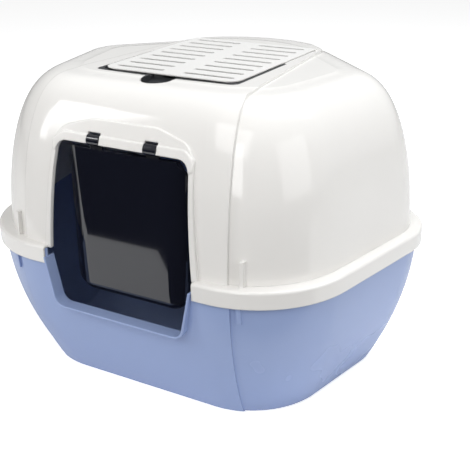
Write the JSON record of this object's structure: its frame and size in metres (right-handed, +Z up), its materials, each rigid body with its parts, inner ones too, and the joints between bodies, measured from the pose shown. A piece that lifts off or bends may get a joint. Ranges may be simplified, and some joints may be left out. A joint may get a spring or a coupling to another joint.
{
  "type": "covered corner litter box",
  "caption": "Covered corner litter box: deep tray with an entry notch, domed lift-off hood, swinging see-through door flap and a hinged vent grille over a filter in the roof.",
  "frame": {"origin": "on the floor, in the middle of the box's width and depth", "axes": "+Z up, -Y out of the doorway, +X to the right for someone who looks at the front"},
  "size_m": [0.5832, 0.5262, 0.4092],
  "materials": {
    "tray_blue": "satin moulded plastic",
    "hood_white": "glossy moulded plastic",
    "flap_smoke": "smoked, polished",
    "lid_white": "satin moulded plastic",
    "frame_grey": "matt moulded plastic",
    "filter_foam": "open-cell carbon foam"
  },
  "bodies": {
    "tray": {"litter_tray": "tray_blue"},
    "hood": {"hood": "hood_white", "filter_frame": "frame_grey", "filter_pad": "filter_foam"},
    "flap": {"door_flap": "flap_smoke"},
    "lid": {"vent_lid": "lid_white"}
  },
  "joints": [
    {"name": "hood_lift", "type": "slide", "parent": "tray", "child": "hood", "axis": [0, 0, 1], "range_m": [0, 0.25]},
    {"name": "flap_swing", "type": "hinge", "parent": "hood", "child": "flap", "pos_m": [0, -0.22765, 0.3445], "axis": [1, 0, 0], "range_deg": [-45, 80]},
    {"name": "vent_lid_hinge", "type": "hinge", "parent": "hood", "child": "lid", "pos_m": [0, 0.09935, 0.4056], "axis": [-1, 0, 0], "range_deg": [0, 100]}
  ]
}
